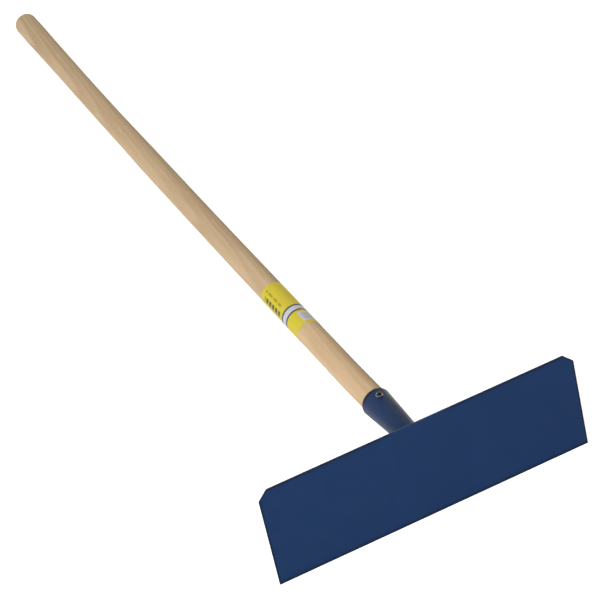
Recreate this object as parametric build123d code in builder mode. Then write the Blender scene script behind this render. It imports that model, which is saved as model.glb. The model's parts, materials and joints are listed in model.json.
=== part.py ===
from build123d import *
from math import asin, atan, atan2, cos, degrees, radians, sin, sqrt
import os

# A road scraper: a flat steel blade on a long wooden handle. The handle is wedged into a conical socket,
# which is rolled from sheet and welded to the back of the blade, and one screw keeps it there.
# Millimetres and degrees. X runs along the cutting edge, Y from the blade to the end of the handle, Z up.
# The tool lies on a floor at Z = 0, on its cutting edge and the end of its handle.

# Blade
blade_length = 500.0
blade_height = 160.0
blade_thickness = 2.5
corner_cut = 15.0

# Socket, square to the blade
socket_height = 114.1  # from the cutting edge up the back face to the socket's axis
socket_length = 144.0  # from the back face to the mouth
socket_foot_diameter = 30.0  # outside, at the blade
socket_wall = 3.0
mouth_chamfer = 1.0
seam_gap = 1.5
weld_leg = 5.0

# Handle
handle_length = 1500.0
handle_diameter = 39.6
handle_fit = 0.2  # all round, between the wood and the socket
tang_length = 74.0  # tapered stretch inside the socket
tang_chamfer = 3.0
neck_length = 120.0  # first bend, just above the socket's mouth
neck_angle = 2.86
pole_length = 385.0  # straight stretch above the neck
bow_length = 350.0  # second bend
bow_angle = 1.0
taper_length = 160.0  # straight stretch that narrows to the waist
waist_length = 90.0  # third bend, for the upper hand
waist_angle = 1.13
waist_diameter = 38.1
end_diameter = 40.8
end_length = 45.0  # straight stretch just below the rounded end
end_round = 9.0
dome_radius = 45.0

# Screw
screw_setback = 19.5  # from the socket's mouth
screw_diameter = 5.6
screw_length = 30.0
screw_point = 8.0
screw_head_diameter = 11.2
screw_head_height = 4.0
screw_head_edge = 1.0  # straight side of the head, below its dome
screw_hole_gap = 0.3  # round the shank, in the socket's wall
pilot_gap = 0.05  # round the shank, in the wood

# Label
label_start = 221.0  # from the socket's mouth
label_length = 130.0
label_thickness = 0.2
glue_line = 0.15

# The socket's cone: its mouth takes the full handle, and its foot is narrower
handle_radius = handle_diameter / 2
mouth_radius = handle_radius + handle_fit + socket_wall
foot_radius = socket_foot_diameter / 2
cone_slope = (mouth_radius - foot_radius) / socket_length


def cone_radius(distance):
    """Outside radius of the socket at a distance behind the blade, along its axis."""
    return foot_radius + cone_slope * distance


# The handle's rounded end: a shoulder of small radius that runs over into a flat dome
end_radius = end_diameter / 2
shoulder_radius = end_radius - end_round
end_depth = dome_radius - sqrt((dome_radius - end_round) ** 2 - shoulder_radius**2)

# The grip takes the rest of the handle's length: it flares from the waist, runs straight and ends in the dome
shaft_length = tang_length + neck_length + pole_length + bow_length + taper_length + waist_length
grip_length = handle_length - shaft_length


def straight(before, length):
    """Line that carries on from the end of the line before it."""
    return PolarLine(before @ 1, length, direction=before % 1)


def bend(before, length, angle):
    """Arc that carries on from the end of the line before it and turns upwards."""
    return JernArc(before @ 1, before % 1, length / radians(angle), angle)


# The tool's axis, drawn flat behind a blade that stands upright: x away from the blade, y up along it
with BuildLine():
    bore = Line((0, socket_height), (socket_length, socket_height))
    neck = bend(bore, neck_length, neck_angle)
    pole = straight(neck, pole_length)
    bow = bend(pole, bow_length, bow_angle)
    taper = straight(bow, taper_length)
    waist = bend(taper, waist_length, waist_angle)
    grip = straight(waist, grip_length)

# Lying down, the blade leans back until the shoulder of the handle's end meets the floor
shoulder_centre = grip @ 1 - end_depth * (grip % 1) - shoulder_radius * (grip % 1).rotate(Axis.Z, 90)
dome_centre = grip @ 1 - dome_radius * (grip % 1)
lean = degrees(atan2(shoulder_centre.Y, shoulder_centre.X) - asin(end_round / shoulder_centre.length))
front_reach = blade_thickness * cos(radians(lean))
back_reach = dome_centre.X * cos(radians(lean)) + dome_centre.Y * sin(radians(lean)) + dome_radius
cutting_edge = Vector(0, (front_reach - back_reach) / 2, 0)


def along(angle):
    """Unit vector in the tool's plane of symmetry, at this angle above +Y."""
    return Vector(0, cos(radians(angle)), sin(radians(angle)))


# The lying tool: the flat drawing goes on its plane of symmetry
right = Vector(1, 0, 0)
tool_side = Plane(cutting_edge, x_dir=along(-lean), z_dir=right)
blade_back = Plane(cutting_edge, x_dir=right, z_dir=-along(-lean))


def side(stretch):
    """Plane of symmetry with its local x along a straight stretch and its local y up from it."""
    lying = tool_side * stretch
    return Plane(lying @ 0, x_dir=lying % 0, z_dir=right)


def across(stretch, share=0.0):
    """Plane square to a stretch, at this share of its length."""
    lying = tool_side * stretch
    return Plane(lying @ share, x_dir=right, z_dir=lying % share)


def middle(stretch):
    """Axis along a straight stretch."""
    lying = tool_side * stretch
    return Axis(lying @ 0, lying % 0)


def turning(stretch):
    """Axis that a bent stretch turns about."""
    return Axis((tool_side * stretch).arc_center, right)


# The screw stands square on the top of the socket's wall
screw_distance = socket_length - screw_setback
screw_seat_radius = cone_radius(screw_distance)
screw_seat = side(bore).from_local_coords((screw_distance, screw_seat_radius))
screw_out = along(90 - lean + degrees(atan(cone_slope)))
screw_side = Plane(screw_seat, x_dir=right, z_dir=right.cross(screw_out))
screw_base = Plane(screw_seat, x_dir=right, z_dir=-screw_out)


# The blade: sheared plate with its two top corners cut off
with BuildPart() as blade:
    with BuildSketch(blade_back) as blade_outline:
        Rectangle(blade_length, blade_height, align=(Align.CENTER, Align.MIN))
        chamfer(blade_outline.vertices().group_by(Axis.Y)[-1], corner_cut)
    extrude(amount=blade_thickness)

# The socket: a cone with a broken rim, its seam left open below and a hole for the screw on top
with BuildPart() as socket:
    with BuildSketch(side(bore)):
        Polygon(
            (0, foot_radius - socket_wall),
            (0, foot_radius),
            (socket_length, mouth_radius),
            (socket_length, mouth_radius - socket_wall),
            align=None,
        )
    revolve(axis=middle(bore))
    chamfer(socket.edges().filter_by(GeomType.CIRCLE).sort_by(SortBy.RADIUS)[-1], mouth_chamfer)
    with BuildSketch(side(bore)):
        with Locations((socket_length / 2, 0)):
            Rectangle(2 * socket_length, 2 * mouth_radius, align=(Align.CENTER, Align.MAX))
    extrude(amount=seam_gap / 2, both=True, mode=Mode.SUBTRACT)
    with BuildSketch(screw_base):
        Circle(screw_diameter / 2 + screw_hole_gap)
    extrude(amount=screw_seat_radius, both=True, mode=Mode.SUBTRACT)

# The weld: a bead of three-cornered section round the socket's foot, between the cone and the back face
with BuildPart() as socket_weld:
    with BuildSketch(side(bore)):
        Polygon(
            (0, foot_radius),
            (0, foot_radius + weld_leg),
            (weld_leg, cone_radius(weld_leg)),
            align=None,
        )
    revolve(axis=middle(bore))

# The handle: a turned pole, tapered into the socket, bent three times and waisted below its rounded end
with BuildPart() as handle:
    tang_foot = socket_length - tang_length
    tang_radius = cone_radius(tang_foot) - socket_wall - handle_fit
    with BuildSketch(side(bore)):
        Polygon(
            (tang_foot, 0),
            (tang_foot, tang_radius - tang_chamfer),
            (tang_foot + tang_chamfer, tang_radius + cone_slope * tang_chamfer),
            (socket_length, handle_radius),
            (socket_length, 0),
            align=None,
        )
    revolve(axis=middle(bore))
    with BuildSketch(across(neck)):
        Circle(handle_radius)
    revolve(axis=turning(neck), revolution_arc=neck_angle)
    with BuildSketch(across(pole)):
        Circle(handle_radius)
    extrude(amount=pole_length)
    with BuildSketch(across(bow)):
        Circle(handle_radius)
    revolve(axis=turning(bow), revolution_arc=bow_angle)
    waist_radius = waist_diameter / 2
    with BuildSketch(side(taper)):
        with BuildLine():
            hollow = TangentArc((taper_length, waist_radius), (0, handle_radius), tangent=(-1, 0))
            Polyline(hollow @ 1, (0, 0), (taper_length, 0), hollow @ 0)
        make_face()
    revolve(axis=middle(taper))
    with BuildSketch(across(waist)):
        Circle(waist_radius)
    revolve(axis=turning(waist), revolution_arc=waist_angle)
    with BuildSketch(side(grip)):
        with BuildLine():
            shoulder_start = grip_length - end_depth
            dome_turn = asin(shoulder_radius / (dome_radius - end_round))
            dome_edge = (
                grip_length - dome_radius + dome_radius * cos(dome_turn),
                dome_radius * sin(dome_turn),
            )
            flare = TangentArc((0, waist_radius), (shoulder_start - end_length, end_radius), tangent=(1, 0))
            run = Line(flare @ 1, (shoulder_start, end_radius))
            shoulder = TangentArc(run @ 1, dome_edge, tangent=run % 1)
            dome = TangentArc(shoulder @ 1, (grip_length, 0), tangent=shoulder % 1)
            Polyline(dome @ 1, (0, 0), flare @ 0)
        make_face()
    revolve(axis=middle(grip))
    with BuildSketch(screw_base):
        Circle(screw_diameter / 2 + pilot_gap)
    extrude(amount=screw_length + pilot_gap, mode=Mode.SUBTRACT)

# The screw: a round head on a pointed shank
with BuildPart() as handle_screw:
    with BuildSketch(screw_side):
        with BuildLine():
            head_radius = screw_head_diameter / 2
            shank_radius = screw_diameter / 2
            Polyline(
                (0, screw_head_height),
                (0, -screw_length),
                (shank_radius, screw_point - screw_length),
                (shank_radius, 0),
                (head_radius, 0),
                (head_radius, screw_head_edge),
            )
            TangentArc((0, screw_head_height), (head_radius, screw_head_edge), tangent=(1, 0))
        make_face()
    revolve(axis=Axis(screw_seat, screw_out))

# The label: a printed sheet wrapped round the straight stretch above the neck
with BuildPart() as label:
    label_bore = handle_radius + glue_line
    with BuildSketch(across(pole, (label_start - neck_length) / pole_length)):
        Circle(label_bore + label_thickness)
        Circle(label_bore, mode=Mode.SUBTRACT)
    extrude(amount=label_length)

os.makedirs("parts", exist_ok=True)
pieces = {
    "blade": blade,
    "socket": socket,
    "socket_weld": socket_weld,
    "handle": handle,
    "handle_screw": handle_screw,
    "label": label,
}
for name, piece in pieces.items():
    piece.part.label = name
    export_step(piece.part, f"parts/{name}.step")
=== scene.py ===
import json
from math import asin, atan2, degrees, pi, radians, sqrt

import bmesh
import bpy
import numpy as np
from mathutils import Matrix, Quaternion, Vector


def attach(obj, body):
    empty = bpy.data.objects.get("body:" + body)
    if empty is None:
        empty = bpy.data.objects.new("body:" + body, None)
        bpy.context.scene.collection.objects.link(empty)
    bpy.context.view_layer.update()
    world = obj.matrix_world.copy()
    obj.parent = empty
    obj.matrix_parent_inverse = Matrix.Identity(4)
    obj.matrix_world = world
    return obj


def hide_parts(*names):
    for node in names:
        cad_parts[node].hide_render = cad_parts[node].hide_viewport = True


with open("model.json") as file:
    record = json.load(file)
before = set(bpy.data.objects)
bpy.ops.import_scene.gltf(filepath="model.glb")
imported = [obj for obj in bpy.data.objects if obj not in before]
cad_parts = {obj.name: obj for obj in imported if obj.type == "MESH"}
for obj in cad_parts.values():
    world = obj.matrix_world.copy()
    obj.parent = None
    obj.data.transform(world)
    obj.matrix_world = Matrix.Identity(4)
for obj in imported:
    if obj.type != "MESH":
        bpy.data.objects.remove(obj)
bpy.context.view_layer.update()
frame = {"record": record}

# Blade: a plate sheared from 2.5 mm steel, with its two top corners cut off, dipped in navy paint.
# The shears leave its edges slightly round. The paint is darker along them, most widely along the cutting
# edge: painted shade, standing in for the edges in shade, left off the top edge in front of the socket.
blade_length = 0.500
blade_height = 0.160
blade_thickness = 0.0025
corner_cut = 0.015
blade_edge = 0.0006  # radius of every edge
edge_strip = 0.003  # width of the strip along an edge that is darkened as painted shade
bottom_strip = 0.006  # width of that strip along the cutting edge
unshaded_stretch = 0.040  # half width of the stretch of the top edge without painted shade, in front of the socket
unshaded_fade = 0.010  # at each end of that stretch
edge_steps = 5  # faces round the quarter turn of an edge
face_rows = 24  # rows of points from the drained strip up to the corner cuts
corner_rows = 6  # further rows up to the top edge
face_columns = 60  # columns of points along the blade
same_place = 1e-6  # points that are closer together than this are one point
crease = radians(40)  # an edge that turns further than this stays sharp
thin_navy = (0.0105, 0.0368, 0.113, 1)
full_navy = (0.0125, 0.0428, 0.131, 1)
# painted shade, laid along the blade's edges and the socket's rim
shade_navy = (0.004, 0.009, 0.025, 1)

right = np.array([1.0, 0.0, 0.0])
face_mount = next(mount for mount in frame["record"]["mounts"] if mount["name"] == "blade_face")
face_middle = np.array(face_mount["pos_m"])
face_normal = np.array(face_mount["axis"])
blade_up = np.cross(face_normal, right)


def close_up(mesh):
    """Merges a mesh's equal points, drops faces without area, and turns the rest outwards and smooth."""
    work = bmesh.new()
    work.from_mesh(mesh)
    bmesh.ops.remove_doubles(work, verts=work.verts, dist=same_place)
    bmesh.ops.dissolve_degenerate(work, edges=work.edges, dist=same_place)
    bmesh.ops.recalc_face_normals(work, faces=work.faces)
    work.to_mesh(mesh)
    work.free()
    mesh.shade_smooth()
    mesh.set_sharp_from_angle(angle=crease)


def skin(name, grid, capped=False, **fields):
    """A mesh over a grid of points, where each row is a ring of columns.

    Neighbours in the grid make four-cornered faces. Equal points then merge, which closes a row that
    has shrunk to a point and a last row that meets the first. With capped, the first and the last ring
    are closed by strips between each column and its partner, counted from the other end of the ring.
    Each field is an array of numbers or vectors, which the mesh keeps at its points.
    """
    rows, columns = grid.shape[:2]
    index = np.arange(rows * columns).reshape(rows, columns)
    beside = np.roll(index, -1, axis=1)
    faces = [np.stack([index[:-1], beside[:-1], beside[1:], index[1:]], axis=-1).reshape(-1, 4)]
    if capped:
        half = columns // 2
        for ring in (index[0], index[-1]):
            partner = ring[::-1]
            strip = [ring[: half - 1], ring[1:half], partner[1:half], partner[: half - 1]]
            faces.append(np.stack(strip, axis=-1))
    mesh = bpy.data.meshes.new(name)
    mesh.from_pydata(grid.reshape(-1, 3), [], np.concatenate(faces))
    for field, values in fields.items():
        kind, part = ("FLOAT_VECTOR", "vector") if values.ndim == 3 else ("FLOAT", "value")
        mesh.attributes.new(field, kind, "POINT").data.foreach_set(part, values.astype(np.float32).ravel())
    close_up(mesh)
    piece = bpy.data.objects.new(name, mesh)
    bpy.context.scene.collection.objects.link(piece)
    return piece


def plate_surface():
    """The blade's surface, and how much painted shade along its edges lies at each of its points.

    A flat core, smaller than the plate by the edge radius all round, is covered by a ball of that
    radius. The rows go up the blade: they turn round the bottom edge, climb the core and turn over the
    top edge. The columns go round the section: along the front, round the right edge, back along the
    rear and round the left edge. The core's half length is the blade's, less the corner cut near the
    top. The painted shade's share falls from 1 at an edge to 0 across the strip along it, and is 0 on the
    unshaded stretch of the top edge.
    """
    core_top = blade_height - blade_edge
    turn = np.linspace(0, pi / 2, edge_steps + 1)
    climb = np.linspace(blade_edge + bottom_strip, blade_height - corner_cut, face_rows)
    crown = np.linspace(blade_height - corner_cut, core_top, corner_rows + 1)
    core_up = np.r_[blade_edge, climb, crown[1:]]
    row_up = np.r_[np.full(edge_steps, blade_edge), core_up, np.full(edge_steps, core_top)]
    row_turn = np.r_[-turn[:0:-1], np.zeros(len(core_up)), turn[1:]]

    support = 2 * edge_strip / blade_length
    ends = np.ones(edge_steps + 1)
    side = np.r_[-ends, np.linspace(support - 1, 1 - support, face_columns), ends]
    around = np.r_[pi - turn, np.full(face_columns, pi / 2), turn[::-1]]
    face = np.repeat([1, -1], len(side))
    side = np.r_[side, side[::-1]]
    around = np.r_[around, -around[::-1]]

    up = row_up[:, None]
    half_length = blade_length / 2 - np.maximum(0, up - blade_height + corner_cut) - blade_edge
    ball = blade_edge * np.cos(row_turn)[:, None]
    x = side * half_length + ball * np.cos(around)
    depth = blade_thickness / 2 - face * (blade_thickness / 2 - blade_edge) - ball * np.sin(around)
    z = up + blade_edge * np.sin(row_turn)[:, None] - blade_height / 2
    points = face_middle + x[..., None] * right - depth[..., None] * face_normal + z[..., None] * blade_up

    from_sides = (1 - abs(side)) * half_length / edge_strip
    from_bottom = (up - blade_edge) / bottom_strip
    from_top = (core_top - up) / edge_strip
    inside = np.minimum(from_sides, np.minimum(from_bottom, from_top))
    away = np.clip((abs(x) - unshaded_stretch) / unshaded_fade, 0, 1) + (up < blade_height / 2)
    return points, np.clip(1 - inside, 0, 1) * np.minimum(away, 1)


def fill(tree, node, inputs):
    """Gives a node its inputs. Each is a value, or another node's output to link."""
    for key, value in inputs.items():
        if isinstance(value, bpy.types.NodeSocket):
            tree.links.new(value, node.inputs[key])
        else:
            node.inputs[key].default_value = value


def add_node(tree, kind, inputs, **settings):
    """A shader node with its settings and its inputs."""
    node = tree.nodes.new("ShaderNode" + kind)
    for name, value in settings.items():
        setattr(node, name, value)
    fill(tree, node, inputs)
    return node


def noise(tree, place, waves, detail=3.0):
    """Cloudy noise from 0 to 1, with about this many waves to the metre."""
    inputs = {"Vector": place, "Scale": waves, "Detail": detail}
    return add_node(tree, "TexNoise", inputs).outputs["Fac"]


def combine(tree, operation, first, second=0.0):
    """The result of one sum on two numbers."""
    return add_node(tree, "Math", {0: first, 1: second}, operation=operation).outputs[0]


def spread(tree, value, within, onto=(0.0, 1.0)):
    """A number within one range, turned smoothly into the matching number of another range."""
    (low, high), (start, end) = within, onto
    inputs = {"Value": value, "From Min": low, "From Max": high, "To Min": start, "To Max": end}
    return add_node(tree, "MapRange", inputs, interpolation_type="SMOOTHSTEP").outputs["Result"]


def mix(tree, share, first, second):
    """The first colour with this share of the second."""
    inputs = {0: share, 6: first, 7: second}  # the sockets that this node has for colours
    return add_node(tree, "Mix", inputs, data_type="RGBA").outputs[2]


def attribute(tree, field, output):
    """A number or vector that the mesh keeps at each of its points."""
    return add_node(tree, "Attribute", {}, attribute_name=field).outputs[output]


def bump(tree, height, distance, below=None):
    """A surface normal raised by up to this distance, on top of another normal."""
    inputs = {"Height": height, "Distance": distance, "Strength": 1.0}
    if below is not None:
        inputs["Normal"] = below
    return add_node(tree, "Bump", inputs).outputs["Normal"]


def new_finish(name):
    """An empty material with its node tree and its main shader."""
    finish = bpy.data.materials.new(name)
    finish.use_nodes = True
    return finish, finish.node_tree, finish.node_tree.nodes["Principled BSDF"]


def own_place(tree):
    """The place of each point in the object's own coordinates."""
    return add_node(tree, "TexCoord", {}).outputs["Object"]


def dress(piece, finish, node):
    """The piece takes its finish, rides on the tool and stands for its node of the frame."""
    piece.data.materials.append(finish)
    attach(piece, "root")
    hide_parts(node)


def navy_paint():
    """Satin navy enamel: cloudy, with a faint orange peel, and darker along the edges as painted shade."""
    finish, tree, shader = new_finish("navy_paint")
    place = own_place(tree)
    colour = mix(tree, noise(tree, place, waves=9.0), thin_navy, full_navy)
    patches = spread(tree, noise(tree, place, waves=90.0), within=(0.2, 0.6), onto=(0.5, 0.9))
    # painted shade: darker along the blade's edges and the socket's rim, in random patches
    painted_shade = combine(tree, "MULTIPLY", attribute(tree, "edge", "Fac"), patches)
    peel = bump(tree, noise(tree, place, waves=420.0, detail=1.0), distance=0.00006)
    look = {
        "Base Color": mix(tree, painted_shade, colour, shade_navy),
        "Roughness": spread(tree, noise(tree, place, waves=40.0), within=(0.2, 0.8), onto=(0.28, 0.38)),
        "Specular IOR Level": 0.6,
        "Normal": bump(tree, noise(tree, place, waves=1900.0, detail=2.0), distance=0.000012, below=peel),
    }
    fill(tree, shader, look)
    return finish


paint = navy_paint()
plate_points, plate_edge_shade = plate_surface()
blade = skin("blade_plate", plate_points, capped=True, edge=plate_edge_shade)
dress(blade, paint, "blade")

# Socket: a cone rolled from 3 mm steel sheet, welded square to the back of the blade and dipped with it.
# The sheet's two edges meet below, with an open seam between them. The mouth's rim is ground round, and
# a dark strip of painted shade runs along it, standing in for the shade between the socket and the wood.
socket_height = 0.1141  # from the cutting edge up the back face to the socket's axis
socket_length = 0.144
socket_foot_radius = 0.0150
socket_mouth_radius = 0.0230
socket_wall = 0.003
mouth_round = 0.0014  # outer edge of the rim
mouth_inner_round = 0.0005
rim_strip = 0.0042  # width of the dark strip of painted shade
rim_fade = 0.0010  # over which that strip begins
rim_shade = 1.3  # strength of the painted shade there, beside that along the blade's edges
seam_gap = 0.0015
socket_rows = 38  # points along the wall, from the blade to the dark strip
rim_steps = 7  # faces round each edge of the rim
socket_columns = 145  # points from one edge of the seam round to the other

lean = degrees(atan2(face_normal[2], -face_normal[1]))
cone_slope = (socket_mouth_radius - socket_foot_radius) / socket_length
back_middle = face_middle - blade_thickness * face_normal
foot = back_middle + (socket_height - blade_height / 2) * blade_up


def along(angle):
    """Unit vectors in the tool's plane of symmetry, at these degrees above +Y."""
    turn = np.radians(angle)
    return np.stack([np.zeros_like(turn), np.cos(turn), np.sin(turn)], axis=-1)


def cone_point(distance, radius, around):
    """The point at this distance along the socket's axis and this radius, this far round from the top."""
    out = np.cos(around)[..., None] * along(90.0 - lean) + np.sin(around)[..., None] * right
    return foot + np.asarray(distance)[..., None] * along(-lean) + np.asarray(radius)[..., None] * out


def socket_surface():
    """The rolled sheet, and how strong the painted shade is at each point, beside that on the blade's edges.

    The wall's section is carried round the axis from one edge of the seam to the other. The section goes
    along the outside from the blade to the mouth, over the round rim, and back along the inside.
    """
    strip_start = 1 - rim_strip / socket_length
    reach = np.r_[np.linspace(0, strip_start - rim_fade / socket_length, socket_rows), strip_start, 1]
    turn = np.linspace(0, pi / 2, rim_steps + 1)[1:]
    share = np.r_[reach, np.ones(2 * len(turn)), reach[::-1]]
    rim = np.r_[np.zeros(len(reach)), turn, turn[::-1], np.zeros(len(reach))]
    outer = np.arange(len(share)) < len(share) // 2
    rim_round = np.where(outer, mouth_round, mouth_inner_round)

    distance = share * (socket_length - rim_round) + rim_round * np.sin(rim)
    wall = socket_foot_radius + cone_slope * distance - np.where(outer, 0, socket_wall)
    radius = wall - np.where(outer, 1, -1) * rim_round * (1 - np.cos(rim))

    half_gap = seam_gap / 2 / radius
    spin = pi + half_gap + np.linspace(0, 1, socket_columns)[:, None] * 2 * (pi - half_gap)
    # painted shade in the strip along the rim
    painted_shade = rim_shade * np.clip(1 - ((strip_start - share) * socket_length) / rim_fade, 0, 1)
    shape = np.ones_like(spin)
    return cone_point(distance * shape, radius * shape, spin), painted_shade * shape


socket_points, socket_rim_shade = socket_surface()
socket = skin("socket_cone", socket_points, capped=True, edge=socket_rim_shade)
dress(socket, paint, "socket")

# Weld: a bead of steel laid round the socket's foot, against the back of the blade, and painted with both.
# It was laid by hand in short steps, so its face is a row of overlapping crescents, and its legs sway.
weld_leg = 0.005
weld_steps = 34
weld_crown = 0.0009  # how far the bead's face swells out
weld_ripple = 0.00035  # height of one crescent
crescent_lag = 0.45  # of a step, by which a crescent's middle lags behind its ends
crescent_rise = 0.75  # of a step, over which a crescent rises before it drops
swell_slant = 0.7  # share of the swell that goes along the cone, and as much away from it
leg_sways = ((0.0004, 3, 1.0), (0.0003, 7, 0.0))  # each one's size, waves round the socket and start
step_points = 12  # along each step
weld_columns = 15  # points across the bead's face


def weld_surface():
    """The bead's three-cornered section carried round the socket's axis.

    Its face runs from the blade to the cone and swells out by half a sine. Each step of the bead adds a
    crescent that rises slowly and drops fast, and lags behind at the middle of the face. The other two
    sides of the section lie on the cone and on the back of the blade. The legs sway by sines.
    """
    around = np.linspace(0, 2 * pi, step_points * weld_steps + 1)[:, None]
    share = np.linspace(0, 1, weld_columns)
    step = weld_steps * around / (2 * pi) + crescent_lag * np.sin(pi * share)
    phase = step - np.floor(step)
    ripple = weld_ripple * np.minimum(phase / crescent_rise, (1 - phase) / (1 - crescent_rise))
    swell = (weld_crown + ripple) * np.sin(pi * share)
    leg = weld_leg + sum(sway * np.sin(waves * around + start) for sway, waves, start in leg_sways)

    distance = leg * share + swell_slant * swell
    height = leg * (1 - share) + swell_slant * swell
    spin = around * np.ones_like(share)
    face = cone_point(distance, socket_foot_radius + cone_slope * distance + height, spin)
    inner = cone_point(np.zeros_like(around), np.full_like(around, socket_foot_radius), around)
    return np.concatenate([face, inner], axis=1)


weld_points = weld_surface()
weld = skin("weld_bead", weld_points, edge=np.zeros(weld_points.shape[:2]))
dress(weld, paint, "socket_weld")

# Handle: a sanded pole of pale hardwood, turned to a taper for the socket and bent a little in three places.
# It narrows where the upper hand holds it and swells again to a rounded end. The wood is paler near the
# socket, deeper along its right side, partly its own tone and partly painted shade on the side away from
# the key light, and bolder in its figure near the end.
handle_radius = 0.0198
handle_length = 1.500
handle_fit = 0.0002  # between the wood and the socket
tang_length = 0.074
tang_chamfer = 0.003
neck_length = 0.120  # first bend, just above the socket's mouth
neck_angle = 2.86
pole_length = 0.385
bow_length = 0.350  # second bend
bow_angle = 1.0
taper_length = 0.160
waist_length = 0.090  # third bend
waist_angle = 1.13
waist_radius = 0.01905
end_radius = 0.0204
end_length = 0.045
end_round = 0.009
dome_radius = 0.045
axis_steps = 3000
tang_rows = 12
shaft_rows = 260
shoulder_rows = 12
dome_rows = 14
handle_columns = 96

grain_lean = 0.040  # how far the wood's layers move sideways for each metre along the pole, in metres
wander_waves = (16.0, 16.0, 3.0)  # to the metre, across and along the pole, in which the layers wander
wander_width = (0.012, 0.012, 0.0)
pith = (0.065, -0.050, 0.0)  # middle of the tree, to the right of the pole's axis and below it
yearly_layers = 150.0  # to the metre
deep_and_shade_way = (0.92, 0.40, 0.0483)  # way of the deeper tone and painted shade, mostly across the pole
deep_and_shade_border = (0.0108, 0.0148)  # how far that way it begins, and is full
pale_border = (0.37, 0.49)  # behind the blade, where the paler wood begins to end, and has ended
bold_border = (1.20, 1.50)  # behind the blade, where the figure begins to grow bolder, and is full
light_wood = (0.735, 0.535, 0.325, 1)
brown_wood = (0.639, 0.447, 0.256, 1)
# deeper tone of the wood, also painted shade on the side away from the key light
deep_wood_and_shade = (0.45, 0.30, 0.13, 1)
socket_end_wood = (0.88, 0.60, 0.318, 1)
late_wood = (0.45, 0.285, 0.148, 1)
fibre_wood = (0.76, 0.56, 0.34, 1)
stroke_wood = (0.82, 0.62, 0.39, 1)
pore_wood = (0.36, 0.22, 0.11, 1)
sheen_wood = (1.0, 0.90, 0.75, 1)
deep_and_shade_share = 0.24  # this and the next ones are how strongly each tone is laid over those before it
pale_share = 0.33
late_share = 0.26
band_share = 0.22
fibre_share = 0.22
stroke_share = 0.30
pore_share = 0.28
bold_figure = 2.0  # strength of the figure at the end, beside that along the pole
fibre_rise = 0.6  # height of a fibre beside the depth of a pore

tang_foot = socket_length - tang_length
handle_end = tang_foot + handle_length
bow_start = socket_length + neck_length + pole_length
taper_start = bow_start + bow_length
waist_start = taper_start + taper_length
flare_start = waist_start + waist_length


def climb_at(distance):
    """Degrees at which the handle climbs, this far behind the blade: they grow evenly along each bend."""
    climb = np.full_like(distance, -lean)
    for start, length, angle in (
        (socket_length, neck_length, neck_angle),
        (bow_start, bow_length, bow_angle),
        (waist_start, waist_length, waist_angle),
    ):
        climb += angle * np.clip((distance - start) / length, 0, 1)
    return climb


def handle_point(distance, radius, around):
    """The point at this radius about the handle's bent axis, this far round from the top.

    The axis is the sum of short steps from the socket's foot, each at the climb of its middle.
    """
    mark, step = np.linspace(0, handle_end, axis_steps + 1, retstep=True)
    walk = np.cumsum(step * along(climb_at(mark[1:] - step / 2)), axis=0)
    walk = foot + np.concatenate([np.zeros((1, 3)), walk])
    middle = np.stack([np.interp(distance, mark, walk[:, k]) for k in range(3)], axis=-1)
    out = np.cos(around)[..., None] * along(climb_at(distance) + 90.0) + np.sin(around)[..., None] * right
    return middle + radius[..., None] * out


def handle_profile():
    """Distance and radius along the handle: tang, pole, taper, waist, flare and rounded end.

    The taper and the flare leave the waist by a parabola. The end turns through a shoulder of small
    radius, which runs over into a flat dome.
    """
    tang_radius = socket_foot_radius + cone_slope * tang_foot - socket_wall - handle_fit
    tang = np.array([[tang_foot, 0], [tang_foot, tang_radius - tang_chamfer]])
    cone = np.linspace(tang_foot + tang_chamfer, socket_length, tang_rows)
    cone = np.stack([cone, socket_foot_radius + cone_slope * cone - socket_wall - handle_fit], axis=1)

    shoulder_radius = end_radius - end_round
    end_depth = dome_radius - sqrt((dome_radius - end_round) ** 2 - shoulder_radius**2)
    flare_end = handle_end - end_depth - end_length
    shaft = np.linspace(socket_length, flare_end, shaft_rows)[1:]
    taper = np.clip((waist_start - shaft) / taper_length, 0, 1)
    flare = np.clip((shaft - flare_start) / (flare_end - flare_start), 0, 1)
    swell = (handle_radius - waist_radius) * taper**2 + (end_radius - waist_radius) * flare**2
    shaft = np.stack([shaft, waist_radius + swell], axis=1)

    dome_turn = asin(shoulder_radius / (dome_radius - end_round))
    turn = np.linspace(pi / 2, dome_turn, shoulder_rows)
    shoulder_reach = handle_end - end_depth + end_round * np.cos(turn)
    shoulder = np.stack([shoulder_reach, shoulder_radius + end_round * np.sin(turn)], axis=1)
    turn = np.linspace(dome_turn, 0, dome_rows)[1:]
    dome_reach = handle_end - dome_radius + dome_radius * np.cos(turn)
    dome = np.stack([dome_reach, dome_radius * np.sin(turn)], axis=1)
    return np.concatenate([tang, cone, shaft, shoulder, dome])


def handle_surface():
    """The handle's profile carried round its bent axis, and each point's place in the straightened wood.

    The layers of the wood don't run true along the pole, so that place moves sideways with the distance.
    """
    profile = handle_profile()
    around = np.linspace(0, 2 * pi, handle_columns, endpoint=False)
    distance = profile[:, :1] * np.ones_like(around)
    radius = profile[:, 1:] * np.ones_like(around)
    spin = np.ones_like(profile[:, :1]) * around
    sideways = radius * np.sin(spin) - grain_lean * distance
    grain = np.stack([sideways, radius * np.cos(spin), distance], axis=-1)
    return handle_point(distance, radius, spin), grain


def vector(tree, operation, first, second=(0.0, 0.0, 0.0), output="Vector"):
    """The result of one sum on two vectors: a vector, or a number where the output is called Value."""
    return add_node(tree, "VectorMath", {0: first, 1: second}, operation=operation).outputs[output]


def streaks(tree, grain, across, lengthwise, detail):
    """Noise with this many waves to the metre across and along the grain."""
    drawn_out = vector(tree, "MULTIPLY", grain, (across, across, lengthwise))
    return noise(tree, drawn_out, waves=1.0, detail=detail)


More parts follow.
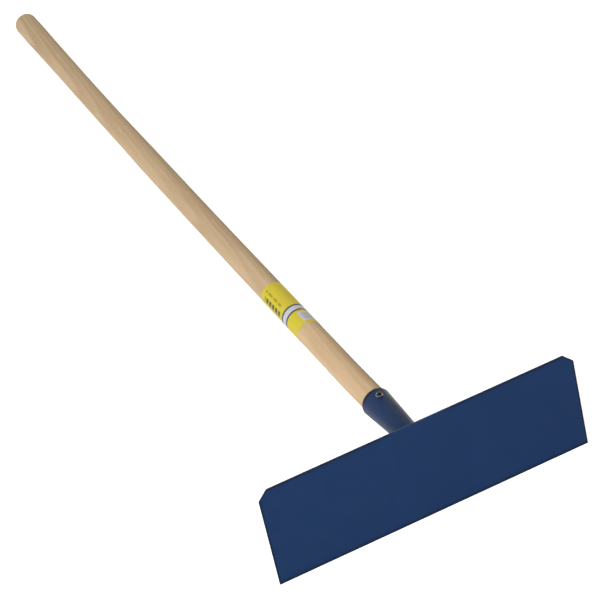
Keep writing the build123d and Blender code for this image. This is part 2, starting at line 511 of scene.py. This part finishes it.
def wandering(tree, grain):
    """The place in the wood, moved aside by slow noise, because a tree's layers wander as they grow."""
    slow = vector(tree, "MULTIPLY", grain, wander_waves)
    aside = add_node(tree, "TexNoise", {"Vector": slow, "Scale": 1.0}).outputs["Color"]
    aside = vector(tree, "SUBTRACT", aside, (0.5, 0.5, 0.5))
    return vector(tree, "ADD", grain, vector(tree, "MULTIPLY", aside, wander_width))


def late_layers(tree, grown):
    """1 in dark late wood: it rises slowly through each yearly layer about the pith, and ends fast."""
    from_pith = vector(tree, "MULTIPLY", vector(tree, "SUBTRACT", grown, pith), (1.0, 1.0, 0.0))
    radius = vector(tree, "LENGTH", from_pith, output="Value")
    year = combine(tree, "FRACT", combine(tree, "MULTIPLY", radius, yearly_layers))
    rise = spread(tree, year, within=(0.05, 0.75))
    return combine(tree, "MULTIPLY", rise, spread(tree, year, within=(0.8, 1.0), onto=(1.0, 0.0)))


def pale_wood():
    """Sanded ash: broad growth layers about a pith beside the pole, with bands, fibres, strokes and pores.

    The wood is paler and plainer near the socket, deeper along its right side, partly its own tone and
    partly painted shade on the side away from the key light, and its figure grows bolder towards the end.
    Each tone is laid over those before it by its own share.
    """
    finish, tree, shader = new_finish("pale_wood")
    grain = attribute(tree, "grain", "Vector")
    grown = wandering(tree, grain)
    distance = add_node(tree, "SeparateXYZ", {0: grain}).outputs["Z"]

    # deeper tone along the right side: part the wood's own, part painted shade
    deep_and_shade = vector(tree, "DOT_PRODUCT", grown, deep_and_shade_way, output="Value")
    deep_and_shade = spread(tree, deep_and_shade, within=deep_and_shade_border, onto=(0.0, deep_and_shade_share))
    pale = spread(tree, distance, within=pale_border, onto=(pale_share, 0.0))
    bold = spread(tree, distance, within=bold_border, onto=(1.0, bold_figure))
    figure = combine(tree, "MULTIPLY", bold, combine(tree, "SUBTRACT", 1.0, pale))
    late = combine(tree, "MULTIPLY", figure, late_share)
    late = combine(tree, "MULTIPLY", late_layers(tree, grown), late)
    bands = streaks(tree, grain, across=75.0, lengthwise=4.0, detail=2.0)
    bands = spread(tree, bands, within=(0.48, 0.66), onto=(0.0, band_share))
    bands = combine(tree, "MULTIPLY", bands, figure)
    fibre = streaks(tree, grain, across=700.0, lengthwise=7.0, detail=4.0)
    fibres = spread(tree, fibre, within=(0.35, 0.7), onto=(0.0, fibre_share))
    strokes = streaks(tree, grain, across=330.0, lengthwise=28.0, detail=1.0)
    strokes = spread(tree, strokes, within=(0.62, 0.74), onto=(0.0, stroke_share))
    pore = streaks(tree, grain, across=1500.0, lengthwise=150.0, detail=1.0)
    pore = spread(tree, pore, within=(0.66, 0.76))
    pores = combine(tree, "MULTIPLY", pore, pore_share)

    clouds = streaks(tree, grain, across=28.0, lengthwise=2.0, detail=2.0)
    colour = mix(tree, clouds, light_wood, brown_wood)
    for share, tone in (
        (deep_and_shade, deep_wood_and_shade),
        (pale, socket_end_wood),
        (late, late_wood),
        (bands, late_wood),
        (fibres, fibre_wood),
        (strokes, stroke_wood),
        (pores, pore_wood),
    ):
        colour = mix(tree, share, colour, tone)
    height = combine(tree, "SUBTRACT", combine(tree, "MULTIPLY", fibre, fibre_rise), pore)
    look = {
        "Base Color": colour,
        "Roughness": spread(tree, fibre, within=(0.2, 0.8), onto=(0.72, 0.6)),
        "Diffuse Roughness": 1.0,
        "Specular IOR Level": 0.2,
        "Sheen Weight": 0.24,
        "Sheen Tint": sheen_wood,
        "Normal": bump(tree, height, distance=0.00006),
    }
    fill(tree, shader, look)
    return finish


handle_points, handle_grain = handle_surface()
handle = skin("handle_pole", handle_points, grain=handle_grain)
dress(handle, pale_wood(), "handle")

# Screw: a plated wood screw with a round head and a cross recess, driven through the top of the socket.
# It stands square on the sloping wall and bites into the handle behind it.
screw_setback = 0.0195  # from the socket's mouth
screw_radius = 0.0028  # over the thread
screw_core = 0.0020  # radius between the turns of the thread
screw_pitch = 0.0022
screw_length = 0.030
screw_point = 0.008
thread_start = 0.0002  # below the head
thread_slope = 3  # a thread that takes up a third of each pitch
head_radius = 0.0056
head_height = 0.0040
head_edge = 0.0010  # height of the head's edge below the dome
head_bevel = 0.0002  # at the foot of that edge, inwards
head_bevel_height = 0.0003
dome_power = 2.4  # the dome is fuller than a ball
dome_drop = 0.995  # share of its height, squared, that the dome has lost at its edge
recess_depth = 0.0029
recess_reach = 0.0047
recess_half_width = 0.0015
recess_slope = 3  # a recess that has its full depth a third of the way in from its walls
screw_hole_gap = 0.0003  # round the shank, in the socket's wall
pilot_gap = 0.00005  # round the shank, in the wood
head_rows = 56
shank_rows = 240
screw_columns = 128
hole_columns = 48
warm_zinc = (0.60, 0.54, 0.50, 1)
cool_zinc = (0.50, 0.52, 0.62, 1)
# painted shade in the screw's cross recess
recess_shade = (0.012, 0.010, 0.009, 1)

screw_distance = socket_length - screw_setback
screw_seat = cone_point(screw_distance, socket_foot_radius + cone_slope * screw_distance, np.array(0.0))
screw_out = along(90.0 - lean + degrees(atan2(cone_slope, 1)))
screw_ahead = np.cross(right, screw_out)


def drill(piece, gap):
    """Cuts the screw's hole into a piece: takes away a pin that is wider than the shank by a gap.

    The pin is a ring carried along the screw's axis, from the top of the head to the bottom of the hole,
    and closed at both ends.
    """
    around = np.linspace(0, 2 * pi, hole_columns, endpoint=False)
    radius = (screw_radius + gap) * np.array([0, 1, 1, 0])[:, None]
    depth = np.repeat([head_height, -screw_length - gap], 2)
    ring = np.cos(around)[:, None] * right + np.sin(around)[:, None] * screw_ahead
    grid = screw_seat + radius[..., None] * ring + (depth[:, None] * screw_out)[:, None]
    pin = skin("drill_pin", grid)
    cut = piece.modifiers.new("screw_hole", "BOOLEAN")
    cut.operation = "DIFFERENCE"
    cut.solver = "EXACT"
    cut.object = pin
    graph = bpy.context.evaluated_depsgraph_get()
    drilled = bpy.data.meshes.new_from_object(
        piece.evaluated_get(graph), preserve_all_data_layers=True, depsgraph=graph
    )
    close_up(drilled)
    piece.modifiers.clear()
    piece.data = drilled
    bpy.data.objects.remove(pin)


def screw_surface():
    """The screw as one skin, from the top of its head to its point, and each point's depth in the recess.

    The head is a dome over a straight edge. A cross is sunk into it, whose depth grows away from its
    walls. Below the flat seat, the shank's radius rises to its thread once in each pitch and turn, and
    the last stretch narrows to the point.
    """
    around = np.linspace(0, 2 * pi, screw_columns, endpoint=False)
    share = np.linspace(0, 1, head_rows)
    dome_r = head_radius * share
    dome_z = head_edge + (head_height - head_edge) * np.sqrt(1 - dome_drop * share**dome_power)
    edge_r = [head_radius, head_radius - head_bevel, screw_radius]
    edge_z = [head_bevel_height, 0.0, 0.0]
    shank_z = -np.linspace(thread_start, screw_length, shank_rows)
    taper = np.clip((screw_length + shank_z) / screw_point, 0, 1)[:, None]
    rise = shank_z[:, None] / screw_pitch + around / (2 * pi)
    thread = np.clip(1 - abs(2 * (rise - np.floor(rise)) - 1) * thread_slope, 0, 1)
    shank_r = taper * (screw_core + (screw_radius - screw_core) * thread)

    shape = np.ones_like(around)
    radius = np.concatenate([np.r_[dome_r, edge_r][:, None] * shape, shank_r])
    z = np.r_[dome_z, edge_z, shank_z][:, None] * shape
    x = radius * np.cos(around)
    y = radius * np.sin(around)
    narrow = np.minimum(abs(x), abs(y)) / recess_half_width
    long = np.maximum(abs(x), abs(y)) / recess_reach
    sunk = np.clip((1 - np.maximum(narrow, long)) * recess_slope, 0, 1)
    sunk[head_rows:] = 0
    z -= recess_depth * sunk
    points = screw_seat + x[..., None] * right + y[..., None] * screw_ahead + z[..., None] * screw_out
    return points, sunk


def plated_steel():
    """Zinc plating with faint rainbow clouds and a fine grain, darkened in the recess as painted shade."""
    finish, tree, shader = new_finish("plated_steel")
    place = own_place(tree)
    colour = mix(tree, noise(tree, place, waves=260.0, detail=2.0), warm_zinc, cool_zinc)
    # painted shade: the recess is darkened by its depth
    shade_in_recess = spread(tree, attribute(tree, "recess", "Fac"), within=(0.0, 0.6), onto=(0.0, 0.97))
    look = {
        "Base Color": mix(tree, shade_in_recess, colour, recess_shade),
        "Metallic": 1.0,
        "Roughness": spread(tree, noise(tree, place, waves=900.0), within=(0.3, 0.7), onto=(0.16, 0.28)),
        "Normal": bump(tree, noise(tree, place, waves=2600.0, detail=2.0), distance=0.00001),
    }
    fill(tree, shader, look)
    return finish


drill(socket, screw_hole_gap)
drill(handle, pilot_gap)
screw_points, screw_recess = screw_surface()
screw = skin("handle_screw_round_head", screw_points, recess=screw_recess)
dress(screw, plated_steel(), "handle_screw")

# Label: a strip of satin printed paper wrapped once round the straight stretch of the handle.
# It is glued to the wood, and its free edge laps over its start at the back.
label_start = 0.221  # from the socket's mouth
label_length = 0.130
label_thickness = 0.0002  # where the paper lies double
paper_share = 0.45  # of that is one layer, and glue lies between the two
glue_line = 0.00015
label_lap = 0.008
lap_place = radians(150)  # round from the top
lap_rise = 0.18  # radians, over which the paper climbs onto its start
label_rows = 150  # points round the handle
label_columns = 46  # points along it

navy_band = (0.038, 0.056)  # start and end, up from the label's lower edge
white_band = (0.0415, 0.0525)
white_panel = (0.070, 0.106, 0.006, 0.032)  # start and end round from the lap, and up from the lower edge
panel_rules = (0.074, 0.102, 0.0095, 0.0295)
black_bars = (0.044, 0.052, 0.064, 0.118)
brown_bars = (0.058, 0.0615, 0.070, 0.122)
ink_edge = 0.0002  # over which the ink of a block begins, on either side of its border
bar_edge = 0.04  # the same for rules and bars, as a share of their step
warm_yellow = (0.92, 0.71, 0.032, 1)
lemon_yellow = (0.88, 0.73, 0.060, 1)
ink_navy = (0.030, 0.045, 0.15, 1)
ink_white = (0.78, 0.78, 0.80, 1)
ink_grey = (0.25, 0.26, 0.32, 1)
ink_black = (0.045, 0.035, 0.030, 1)
ink_brown = (0.24, 0.17, 0.01, 1)


def label_surface():
    """The wrapped strip, and each point's place on its print.

    The paper's section, a thin strip with its two faces, is carried once round the handle and a lap
    further. Its radius steps up smoothly before the lap, so that the lap lies on the paper below. The
    print's first coordinate runs round the handle from the lap, and the second along it, in metres.
    """
    wrap = handle_radius + glue_line
    around = np.linspace(0, 2 * pi + label_lap / wrap, label_rows)[:, None]
    reach = np.linspace(0, label_length, label_columns)
    reach = np.r_[reach, reach[::-1]]
    outer = np.arange(len(reach)) < len(reach) // 2
    lap = np.clip((around - 2 * pi + lap_rise) / lap_rise, 0, 1)
    lap = lap * lap * (3 - 2 * lap)
    radius = wrap + label_thickness * (paper_share * outer + (1 - paper_share) * lap)
    distance = socket_length + label_start + reach * np.ones_like(around)
    spin = lap_place + around * np.ones_like(reach)
    shape = np.ones_like(spin)
    place = np.stack([around * wrap * shape, reach * shape, 0 * shape], axis=-1)
    return handle_point(distance, radius * shape, spin), place


def printed_paper():
    """Satin paper printed in flat colours.

    The field is yellow. A white band between navy lines runs round the handle, with a white panel of
    grey rules below it and two rows of bars above it, one black and one brown.
    """
    finish, tree, shader = new_finish("printed_paper")
    place = own_place(tree)
    print_place = add_node(tree, "SeparateXYZ", {0: attribute(tree, "print_place", "Vector")})
    across, up = print_place.outputs["X"], print_place.outputs["Y"]

    def between(value, low, high):
        """1 where the value lies between low and high, with an edge as soft as ink on paper."""
        start = spread(tree, value, within=(low - ink_edge, low + ink_edge))
        end = spread(tree, value, within=(high - ink_edge, high + ink_edge), onto=(1.0, 0.0))
        return combine(tree, "MULTIPLY", start, end)

    def block(left, right_side, bottom, top):
        """1 inside a rectangle of the print."""
        return combine(tree, "MULTIPLY", between(across, left, right_side), between(up, bottom, top))

    def bars(count, share):
        """1 on bars across the label, this many to the metre, each filling this share of its step."""
        step = combine(tree, "FRACT", combine(tree, "MULTIPLY", up, count))
        return spread(tree, step, within=(share - bar_edge, share + bar_edge), onto=(1.0, 0.0))

    colour = mix(tree, noise(tree, place, waves=35.0), warm_yellow, lemon_yellow)
    colour = mix(tree, between(up, *navy_band), colour, ink_navy)
    colour = mix(tree, between(up, *white_band), colour, ink_white)
    colour = mix(tree, block(*white_panel), colour, ink_white)
    for corners, count, share, strength, ink in (
        (panel_rules, 200.0, 0.5, 0.45, ink_grey),
        (black_bars, 95.0, 0.72, 0.85, ink_black),
        (brown_bars, 60.0, 0.8, 0.55, ink_brown),
    ):
        inked = combine(tree, "MULTIPLY", block(*corners), bars(count, share))
        colour = mix(tree, combine(tree, "MULTIPLY", inked, strength), colour, ink)
    look = {
        "Base Color": colour,
        "Roughness": spread(tree, noise(tree, place, waves=120.0), within=(0.3, 0.7), onto=(0.36, 0.48)),
        "Normal": bump(tree, noise(tree, place, waves=160.0, detail=2.0), distance=0.00008),
    }
    fill(tree, shader, look)
    return finish


label_points, label_place = label_surface()
label = skin("printed_label", label_points, capped=True, print_place=label_place)
dress(label, printed_paper(), "label")

# Floor: a plain sheet of matt white paper under the tool, with a faint mottle.
# It glows for the camera alone, so that it looks evenly pale, and the tool's gloss doesn't mirror it.
floor_half = 20.0
floor_glow = 0.78
floor_grey = (0.88, 0.88, 0.88, 1)
floor_white = (0.90, 0.90, 0.90, 1)


def pale_floor():
    """Matt white paper: a faint mottle of two near whites."""
    finish, tree, shader = new_finish("pale_floor")
    place = own_place(tree)
    eye = add_node(tree, "LightPath", {}).outputs["Is Camera Ray"]
    look = {
        "Base Color": mix(tree, noise(tree, place, waves=3.0), floor_grey, floor_white),
        "Roughness": 0.9,
        "Specular IOR Level": 0.1,
        "Emission Color": (1, 1, 1, 1),
        "Emission Strength": combine(tree, "MULTIPLY", eye, floor_glow),
    }
    fill(tree, shader, look)
    return finish


floor_mesh = bpy.data.meshes.new("floor")
floor_corners = np.array([[-1, -1, 0], [1, -1, 0], [1, 1, 0], [-1, 1, 0]]) * floor_half
floor_mesh.from_pydata(floor_corners, [], [[0, 1, 2, 3]])
floor = bpy.data.objects.new("floor", floor_mesh)
bpy.context.scene.collection.objects.link(floor)
floor.data.materials.append(pale_floor())
floor.visible_glossy = False

# Light: a large cool soft box to the left of the blade, a weak low one in front of it and a warm one
# behind, in a pale room. The room is cooler to the left and warmer to the right, its ground is brighter
# behind the tool, its ceiling is darker, and two small lights are far off, behind the tool and overhead.
cool_white = (0.965, 1.0, 1.06)
warm_white = (1.06, 1.0, 0.84)
tool_middle = (0.0, -0.2, 0.05)
blade_front = (0.0, -0.8, 0.1)
wall_glow = 0.35  # brightness of the room from the ground up to the ceiling
ceiling_glow = 0.12
ground_front = 0.03  # brightness of the ground in front of the tool
ground_left = 0.62  # behind the tool, to the left
ground_right = 1.05  # behind the tool, to the right
seen_room = (0.93, 0.93, 0.93, 1)  # what the camera sees past the floor
left_to_right = (-0.2, 0.5)  # X of a direction into the room
front_to_back = (-0.5, 0.3)  # Y of it
ground_to_wall = (-0.45, 0.15)  # Z of it
wall_to_ceiling = (0.45, 0.85)  # Z of it
far_light_rim = (0.955, 0.985)  # cosine of the angle away from a far light, where it begins and is full
far_lights = (((0.20, 0.98, 0.05), 0.9), ((0.27, 0.05, 0.96), 1.4))  # direction and strength


def soft_box(name, spot, aim, size, power, colour):
    """A rectangular lamp at a spot, turned to face its aim."""
    lamp = bpy.data.lights.new(name, "AREA")
    lamp.shape = "RECTANGLE"
    lamp.size, lamp.size_y = size
    lamp.energy = power
    lamp.color = colour
    box = bpy.data.objects.new(name, lamp)
    box.location = spot
    box.rotation_euler = (Vector(aim) - Vector(spot)).to_track_quat("-Z", "Y").to_euler()
    box.visible_camera = False
    box.visible_glossy = False
    bpy.context.scene.collection.objects.link(box)


soft_box("key_box", (-3.6, -4.0, 3.1), tool_middle, size=(3.0, 3.0), power=240.0, colour=cool_white)
soft_box("front_box", (0.4, -4.6, 0.7), blade_front, size=(2.0, 1.0), power=18.0, colour=cool_white)
soft_box("back_box", (1.2, 4.8, 0.7), tool_middle, size=(3.0, 1.4), power=85.0, colour=warm_white)


def room_glow(tree):
    """The room's light from each direction.

    The ground's brightness grows from front to back, and at the back from left to right. Round the
    horizon it gives way to the walls', and further up the walls' to the ceiling's. Each far light then
    rises as the direction nears it. The sum is tinted from cool at the left to warm at the right.
    """
    direction = add_node(tree, "TexCoord", {}).outputs["Generated"]
    way = add_node(tree, "SeparateXYZ", {0: direction}).outputs
    to_right = spread(tree, way["X"], within=left_to_right)
    ground_back = spread(tree, to_right, within=(0.0, 1.0), onto=(ground_left, ground_right))
    ground = spread(tree, way["Y"], within=front_to_back, onto=(ground_front, ground_back))
    below = spread(tree, way["Z"], within=ground_to_wall, onto=(1.0, 0.0))
    above = spread(tree, way["Z"], within=wall_to_ceiling, onto=(wall_glow, ceiling_glow))
    glow = combine(tree, "MULTIPLY", below, combine(tree, "SUBTRACT", ground, wall_glow))
    glow = combine(tree, "ADD", glow, above)
    for towards, strength in far_lights:
        facing = vector(tree, "DOT_PRODUCT", direction, Vector(towards).normalized(), output="Value")
        glow = combine(tree, "ADD", glow, spread(tree, facing, within=far_light_rim, onto=(0.0, strength)))
    tint = mix(tree, to_right, (*cool_white, 1), (*warm_white, 1))
    return add_node(tree, "VectorMath", {0: tint, "Scale": glow}, operation="SCALE").outputs["Vector"]


room = bpy.data.worlds.new("pale_room")
room.use_nodes = True
room_tree = room.node_tree
lit = room_tree.nodes["Background"]
fill(room_tree, lit, {"Color": room_glow(room_tree)})
seen = add_node(room_tree, "Background", {"Color": seen_room})
room_eye = add_node(room_tree, "LightPath", {}).outputs["Is Camera Ray"]
either = add_node(room_tree, "MixShader", {0: room_eye, 1: lit.outputs[0], 2: seen.outputs[0]})
fill(room_tree, room_tree.nodes["World Output"], {"Surface": either.outputs[0]})
bpy.context.scene.world = room
bpy.context.scene.view_settings.view_transform = "Standard"

# Camera: a long lens, held a little askew, above and to the left of the blade.
# It looks down at the blade's front, and the handle runs away from it to the upper left.
camera_spot = Vector((-1.09110, -3.42819, 2.64303))
camera_aim = Vector((0.05738, -0.23682, 0.0))
camera_roll = -10.87  # degrees, as seen from behind the camera
camera_lens = 164.11  # mm
camera_sensor = 36.0  # mm wide

camera = bpy.data.objects.new("camera", bpy.data.cameras.new("camera"))
camera.data.lens = camera_lens
camera.data.sensor_width = camera_sensor
camera.location = camera_spot
camera.rotation_mode = "QUATERNION"
camera_turn = (camera_aim - camera_spot).to_track_quat("-Z", "Y")
camera.rotation_quaternion = camera_turn @ Quaternion((0, 0, 1), radians(camera_roll))
bpy.context.scene.collection.objects.link(camera)
bpy.context.scene.camera = camera
